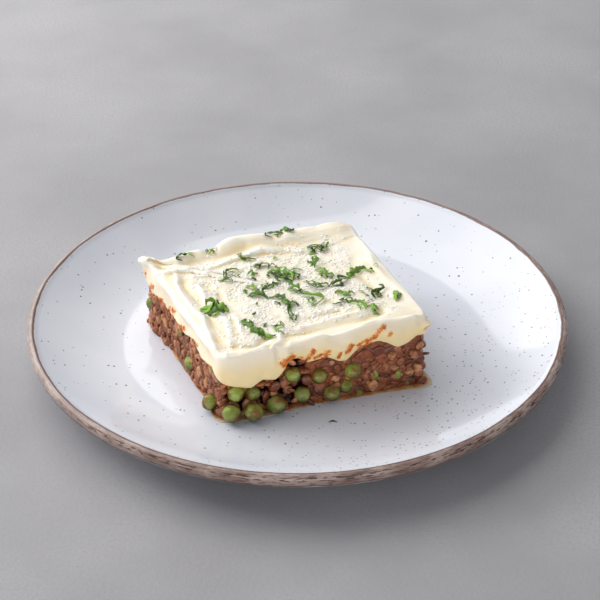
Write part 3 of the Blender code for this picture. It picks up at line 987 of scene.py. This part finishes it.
def make_pea_material():
    """Cooked pea skin, fresh green to olive, with pale patches of painted highlight and sauce dried on in
    places; the lower back of each pea turns dark brown, partly soaked sauce and partly painted shade.
    """
    shading = new_material(
        "pea_skin",
        Roughness=0.26,
        Subsurface_Weight=0.12,
        Subsurface_Scale=0.003,
        Subsurface_Radius=(0.6, 1.0, 0.2),
    )
    green = shading.mix(shading.attribute("tint"), (92, 100, 30), (140, 158, 60))
    # Pale patches as painted highlight on the skin
    green = shading.mix(shading.mottle(160, 3, 0.35, 0.7), green, (184, 188, 108), 0.45)
    green = shading.mix(shading.mottle(170, 5, 0.48, 0.64), green, (126, 70, 28), 0.8)
    # The lower back of each pea turns dark brown: partly soaked sauce, partly painted shade
    edge = shading.maths("ADD", shading.attribute("soaked_and_shaded"), shading.noise(300, 4))
    green = shading.mix(shading.steps(edge, 0.68, 1.1), green, (62, 44, 16), 0.8)
    return shading.painted(green, 500, 0.12)


def build_peas():
    """One piece for each pea: round, a little dented, and some of them wrinkled."""
    chance = np.random.default_rng(41)
    material = make_pea_material()
    for number, (name, (middle, half)) in enumerate(PEAS.items()):
        pea = start_from(bpy.ops.mesh.primitive_ico_sphere_add, subdivisions=5, radius=1)
        shape = points_of(pea)
        wrinkle = 0.06 if number % 3 == 0 else 0.015
        furrows = 1 - abs(ripple(shape, 0.42, number * 5.0, (1, 1, 2)))
        swell = 1 + 0.02 * ripple(shape, 1.1, number * 3.0) - wrinkle * furrows**3
        dent = chance.normal(size=3)
        towards = shape @ (dent / np.linalg.norm(dent))
        swell -= 0.05 * bell(1 - towards, 0.12)
        move_points(pea, np.array(middle) + shape * swell[:, None] * np.array(half))
        add_attribute(pea.data, "tint", np.full(len(shape), chance.random()))
        # Share of soaked sauce and painted shade, highest at the lower back of the pea
        add_attribute(pea.data, "soaked_and_shaded", 0.5 - 0.5 * shape @ (0, -0.35, 0.94))
        finish_piece(pea, name + "_skin", material, "pea_skin", name)


# Lap, height, width and depth in millimetres
CUT_PEAS = (
    (0.745, 14.5, 3.4, 1.9), (0.86, 13.2, 2.6, 1.6), (1.3, 16.0, 3.6, 3.0),
    (1.62, 12.0, 3.8, 3.2), (2.35, 15.0, 3.8, 3.0), (2.7, 11.5, 3.4, 2.6),
)  # fmt: skip


def build_cut_peas():
    """Bits of pea cut through in the clean cut."""
    chance = np.random.default_rng(43)
    matrices = []
    for lap, height, width, depth in CUT_PEAS:
        places, outwards = filling_side(np.array([lap]), np.array([height * MM]))
        centre = Vector(places[0] - 0.4 * MM * outwards[0])
        size = (depth * MM, width * MM, 1.3 * MM)
        matrices.append(turned_matrix(centre, outwards[0], 0, size))
    half = start_from(bpy.ops.mesh.primitive_uv_sphere_add, segments=20, ring_count=12, radius=1)
    tints = chance.uniform(0.6, 1.0, len(matrices))
    halves = joined_copies("cut_peas", half, matrices, tints)
    return finish_piece(halves, "cut_peas", make_pea_material(), "pea_skin")


def build_stem():
    """Bit of stalk that sticks out of the right end."""
    places, _ = filling_side(np.array([0.975]), np.array([22.5 * MM]))
    axis = Vector((0.93, -0.15, 0.2))
    stem = start_from(
        bpy.ops.mesh.primitive_cone_add,
        vertices=18,
        radius1=1.5 * MM,
        radius2=0.4 * MM,
        depth=8 * MM,
        location=Vector(places[0]) + axis * 0.4 * MM,
        rotation=axis.to_track_quat("Z", "Y").to_euler(),
    )
    bpy.ops.object.transform_apply(location=True, rotation=True)
    bpy.ops.object.mode_set(mode="EDIT")
    bpy.ops.mesh.select_all(action="SELECT")
    bpy.ops.mesh.bevel(offset=0.35 * MM, segments=2, affect="EDGES")
    bpy.ops.object.mode_set(mode="OBJECT")
    add_attribute(stem.data, "tint", np.full(len(stem.data.vertices), 0.98))
    return finish_piece(stem, "stalk_bit", make_lentil_material(), "lentil_filling")


# ---------------------------------------------------------------- sauce

# How far the sauce runs out from the filling, as laps and millimetres
SAUCE_REACH = (
    (0.0, 3.6), (0.1, 4.4), (0.2, 4.2), (0.3, 3.2), (0.36, 2.0), (0.45, 0.9), (0.6, 1.8),
    (0.75, 1.5), (0.88, 2.4), (1.0, 4.6), (1.08, 3.2), (1.25, 1.6), (1.6, 2.2), (1.9, 1.2),
    (2.2, 1.6), (2.6, 1.0),
    (3.0, 0.6), (3.5, 0.5), (3.8, 0.4), (3.93, 1.8),
)  # fmt: skip
SAUCE_DEPTH = 0.4 * MM
SAUCE_UNDER = 3.0 * MM


def make_sauce_material():
    """Thin orange-brown sauce."""
    shading = new_material(
        "thin_sauce", Roughness=0.12, Subsurface_Weight=0.2, Subsurface_Scale=0.002
    )
    sauce = shading.mix(shading.mottle(240, 4, 0.35, 0.65), (172, 106, 58), (202, 150, 100))
    sauce = shading.mix(shading.attribute("thinness"), sauce, (222, 200, 172))
    return shading.painted(sauce, 350, 0.15)


def build_sauce():
    """Flattened ring of sauce round the foot of the slice."""
    ring = {"major_segments": 420, "minor_segments": 14, "major_radius": 1, "minor_radius": 0.3}
    sauce = start_from(bpy.ops.mesh.primitive_torus_add, **ring)
    points = points_of(sauce)
    around = np.arctan2(points[:, 1], points[:, 0])
    section = np.arctan2(points[:, 2], np.hypot(points[:, 0], points[:, 1]) - 1)
    lap = around / (math.pi / 2) % 4
    rim, outward = FILLING_OUTLINE.at(lap)
    laps, reaches = np.array(SAUCE_REACH).T
    reach = np.interp(lap, laps, reaches * MM, period=4)
    reach += 0.5 * MM * ripple(in_space(rim, 0), 5 * MM, 4.0)
    out = -SAUCE_UNDER + (reach + SAUCE_UNDER) * (0.5 + 0.5 * np.cos(section))
    height = FLOOR_TOP + 0.02 * MM + SAUCE_DEPTH * np.maximum(np.sin(section), 0) ** 0.8
    move_points(sauce, in_space(rim + out[:, None] * outward, height))
    add_attribute(sauce.data, "thinness", smoothed_step(out, 0.8 * MM, 4.4 * MM))
    return finish_piece(sauce, "thin_sauce", make_sauce_material(), "lentil_filling")


# ---------------------------------------------------------------- cheese and parsley

CHEESE_COUNT = 2400


def make_cheese_material():
    """Dry white grated cheese."""
    shading = new_material("grated_cheese", Roughness=0.6)
    white = shading.mix(shading.attribute("tint"), (248, 243, 230), (255, 252, 246))
    shading.put(shading.sockets["Base Color"], white)
    return shading.material


def build_cheese():
    """Grains of cheese, thickest over the middle."""
    chance = np.random.default_rng(51)
    s, t = chance.uniform(-0.92, 0.92, (2, 3 * CHEESE_COUNT))
    edge = np.maximum(abs(s), abs(t))
    clump = ripple(in_space(np.column_stack([s, t]), 0), 0.16, 5.0)
    wanted = (1 - smoothed_step(edge, 0.42, 0.95)) * (0.5 + 0.9 * clump)
    kept = np.flatnonzero(chance.random(len(s)) < wanted)[:CHEESE_COUNT]
    tops = mash_top(s[kept], t[kept])
    matrices = []
    for top in tops:
        radius = chance.uniform(0.35, 0.75) * MM
        size = radius * chance.uniform((0.8, 0.8, 0.28), (1.4, 1.2, 0.5))
        lean = (*chance.normal(0, 0.3, 2), 1)
        matrices.append(turned_matrix(Vector(top), lean, chance.uniform(0, FULL_TURN), size))
    grain = start_from(bpy.ops.mesh.primitive_ico_sphere_add, subdivisions=2, radius=1)
    cheese = joined_copies("grated_cheese", grain, matrices, chance.random(len(matrices)))
    return finish_piece(cheese, "grated_cheese", make_cheese_material(), "mashed_potato")


# Shreds of parsley on the mash: from s and t, to s and t, and width in millimetres
SHREDS = (
    (-0.72, 0.98, -0.62, 0.97, 1.3), (-0.42, 0.95, -0.37, 0.93, 1.0), (0.18, 1.03, 0.31, 0.94, 1.4),
    (0.33, 0.98, 0.45, 1.03, 2.4), (-0.20, 0.74, -0.06, 0.62, 1.5), (-0.12, 0.52, -0.02, 0.40, 1.8),
    (-0.02, 0.36, 0.05, 0.22, 1.5), (0.06, 0.44, 0.12, 0.17, 1.2), (-0.52, 0.35, -0.27, 0.50, 0.8),
    (-0.23, 0.38, -0.17, 0.34, 1.2), (0.03, 0.26, 0.08, 0.00, 1.4), (0.11, 0.11, 0.26, 0.27, 1.3),
    (0.48, 0.70, 0.52, 0.52, 1.4), (0.46, 0.48, 0.38, 0.26, 1.6), (0.36, 0.22, 0.42, 0.02, 1.5),
    (0.54, 0.54, 0.65, 0.61, 1.6), (0.22, 0.06, 0.38, -0.15, 1.4), (0.36, -0.15, 0.58, -0.06, 1.8),
    (0.58, -0.07, 0.83, 0.05, 1.8), (0.84, 0.00, 0.87, -0.02, 1.0), (0.38, -0.26, 0.49, -0.40, 1.3),
    (0.39, -0.41, 0.41, -0.52, 1.3), (0.68, -0.30, 0.68, -0.55, 1.4), (0.82, -0.28, 0.69, -0.52, 1.3),
    (0.49, -0.50, 0.53, -0.68, 1.4), (0.53, -0.67, 0.61, -0.80, 1.2), (0.89, -0.48, 0.84, -0.66, 1.8),
    (-0.33, 0.18, -0.27, 0.04, 1.4), (-0.22, 0.02, -0.03, 0.10, 1.4), (0.00, -0.04, 0.09, -0.14, 1.4),
    (0.09, -0.13, 0.08, -0.44, 1.3), (-0.38, -0.03, -0.22, -0.15, 1.7), (-0.22, -0.14, -0.10, -0.34, 1.5),
    (-0.08, -0.20, -0.14, -0.44, 1.4), (-0.14, -0.42, -0.15, -0.65, 1.2), (-0.86, -0.14, -0.70, -0.02, 2.6),
    (-0.72, -0.02, -0.63, -0.22, 2.6), (-0.82, -0.20, -0.66, -0.20, 1.8), (-0.53, -0.40, -0.54, -0.62, 2.0),
    (-0.55, -0.58, -0.50, -0.76, 1.8), (-0.54, -0.68, -0.38, -0.80, 1.4), (-0.36, -0.74, -0.26, -0.67, 1.3),
)  # fmt: skip
SHRED_THICKNESS = 0.16 * MM
SHRED_FULL_HEIGHT = 45.8 * MM
SHRED_SPARE_HEIGHT = 1.3 * MM


def shred_points(along, across, start, end, width, chance):
    """Points of one shred, curled about its own length and bent on its way over the mash."""
    share = (along + 1) / 2
    run = end - start
    length = np.linalg.norm(run)
    bend, wave = chance.normal(0, 0.22, 2) * length * (1, 0.7)
    side = np.array([-run[1], run[0]]) / length
    sideways = bend * np.sin(math.pi * share) + wave * np.sin(2 * math.pi * share)
    s, t = start[:, None] + run[:, None] * share + side[:, None] * sideways
    lobes = 0.74 + 0.26 * np.sin(share * chance.uniform(12, 24) + chance.uniform(0, 6))
    half_width = 0.8 * width * lobes * (1 - abs(along) ** 3) ** 0.6 + 0.1 * MM
    roll = chance.uniform(-0.9, 0.9) + chance.uniform(-1.3, 1.3) * share
    curl = chance.uniform(0.1, 0.5) * half_width
    lift = chance.uniform(0.1, 1.3) * MM * np.sin(math.pi * share) ** 1.5
    ahead = plan_point(s + run[0] * 0.02, t + run[1] * 0.02) - plan_point(s, t)
    normal = np.column_stack([-ahead[:, 1], ahead[:, 0]]) / np.linalg.norm(ahead, axis=1)[:, None]
    points = mash_top(s, t)
    points[:, :2] += normal * (across * half_width * np.cos(roll))[:, None]
    points[:, 2] += 0.35 * MM + lift + across * half_width * np.sin(roll) + curl * across**2
    points[:, 2] += abs(half_width * np.sin(roll)) * 0.6
    points[:, 2] = held_under(points[:, 2], SHRED_FULL_HEIGHT, SHRED_SPARE_HEIGHT)
    return points


def make_parsley_material():
    """Fresh parsley, bright to dark green, paler in patches."""
    shading = new_material(
        "chopped_parsley", Roughness=0.42, Subsurface_Weight=0.15, Subsurface_Scale=0.001
    )
    green = shading.mix(shading.attribute("tint"), (26, 66, 24), (124, 174, 50))
    green = shading.mix(shading.mottle(420, 3, 0.45, 0.75), green, (140, 182, 78), 0.4)
    return shading.painted(green, 1500, 0.4)


def build_parsley():
    """Chopped parsley: each shred of the list, and smaller bits that lie by it."""
    chance = np.random.default_rng(61)
    pieces = []
    for s0, t0, s1, t1, width in SHREDS:
        start, end = np.array([s0, t0]), np.array([s1, t1])
        middle, run = (start + end) / 2, (end - start) / 2
        copies = [(start, end, width)]
        for spread, share in ((0.03, 0.6), (0.03, 0.5), (0.07, 0.2)):
            shift = np.clip(middle + chance.normal(0, spread, 2), -0.98, 0.98)
            turned = run * share * chance.uniform(0.7, 1.3) + chance.normal(0, 0.02, 2)
            copies.append((shift - turned, shift + turned, width * chance.uniform(0.35, 0.75)))
        for first, last, wide in copies:
            shred = square_grid(16, 2)
            along, across = points_of(shred)[:, :2].T
            move_points(shred, shred_points(along, across, first, last, wide * MM, chance))
            add_attribute(shred.data, "tint", np.full(len(along), chance.random()))
            pieces.append(shred)
    deselect_all()
    for piece in pieces:
        piece.select_set(True)
    bpy.context.view_layer.objects.active = pieces[0]
    bpy.ops.object.join()
    parsley = bpy.context.object
    parsley.modifiers.new("thickness", "SOLIDIFY").thickness = SHRED_THICKNESS
    bpy.ops.object.modifier_apply(modifier="thickness")
    return finish_piece(parsley, "chopped_parsley", make_parsley_material(), "mashed_potato")


def build_plate_fleck():
    """Bit of herb that fell on the plate in front of the slice."""
    fleck = start_from(bpy.ops.mesh.primitive_ico_sphere_add, subdivisions=3, radius=1)
    shape = points_of(fleck)
    middle = np.array([16.5 * MM, -70.5 * MM, FLOOR_TOP + 0.2 * MM])
    bent = shape * (2.0 * MM, 0.6 * MM, 0.25 * MM) * (1 + 0.4 * ripple(shape, 0.7, 3.0))[:, None]
    bent[:, 1] += 0.5 * MM * np.cos(shape[:, 0] * 2.5)
    move_points(fleck, bent + middle)
    add_attribute(fleck.data, "tint", np.zeros(len(shape)))
    return finish_piece(fleck, "plate_fleck", make_parsley_material(), "mashed_potato")


# ---------------------------------------------------------------- camera, light and table


def add_camera():
    back = Vector((0, -math.cos(VIEW_ELEVATION), math.sin(VIEW_ELEVATION)))
    turn = (math.pi / 2 - VIEW_ELEVATION, 0, 0)
    place = VIEW_AIM + back * VIEW_DISTANCE
    camera = start_from(bpy.ops.object.camera_add, location=place, rotation=turn)
    camera.data.angle = VIEW_ANGLE
    bpy.context.scene.camera = camera


def make_table_material():
    """Pale plaster, slightly clouded."""
    shading = new_material("pale_table", Roughness=0.6)
    grey = shading.mix(shading.mottle(9, 6, 0.3, 0.7), (152, 150, 153), (169, 167, 169))
    grey = shading.mix(shading.mottle(650, 4, 0.3, 0.55), (156, 155, 158), grey)
    return shading.painted(grey, 500, 0.4, Depth=0.4 * MM)


def build_table():
    table = start_from(bpy.ops.mesh.primitive_plane_add, size=TABLE_SIZE)
    table.name = "table"
    table.data.materials.append(make_table_material())


def add_softbox(name, azimuth, elevation, distance, width, height, power, colour):
    """Rectangular light that looks at the plate, with azimuth 0 behind it and 90 to its right."""
    azimuth, elevation = math.radians(azimuth), math.radians(elevation)
    level = math.cos(elevation)
    towards = Vector((math.sin(azimuth) * level, math.cos(azimuth) * level, math.sin(elevation)))
    light = bpy.data.lights.new(name, "AREA")
    light.shape = "RECTANGLE"
    light.size = width
    light.size_y = height
    light.energy = power
    light.color = colour
    lamp = bpy.data.objects.new(name, light)
    lamp.location = towards * distance
    lamp.rotation_euler = towards.to_track_quat("Z", "Y").to_euler()
    bpy.context.scene.collection.objects.link(lamp)
    return lamp


def add_lights():
    add_softbox("window", -48, 47, 1.5, 2.0, 1.55, 20.6, (1.0, 0.99, 0.975))
    low = add_softbox("low_window", -62, 27, 1.5, 1.0, 0.5, 13.0, (1.0, 0.99, 0.975))
    low.visible_glossy = False
    add_softbox("front_card", 186, 9, 1.7, 3.0, 0.5, 13.5, (1.0, 0.985, 0.96))
    world = bpy.data.worlds.new("studio")
    world.use_nodes = True
    backdrop = world.node_tree.nodes["Background"].inputs
    backdrop["Color"].default_value = (0.93, 0.96, 1.0, 1.0)
    backdrop["Strength"].default_value = 0.37
    bpy.context.scene.world = world
    bpy.context.scene.view_settings.view_transform = "Standard"


# ---------------------------------------------------------------- the whole


def main():
    build_table()
    build_plate()
    build_filling()
    build_lentils()
    build_crumbs()
    build_peas()
    build_cut_peas()
    build_stem()
    build_sauce()
    build_mash()
    build_cheese()
    build_parsley()
    build_plate_fleck()
    add_lights()
    add_camera()


main()
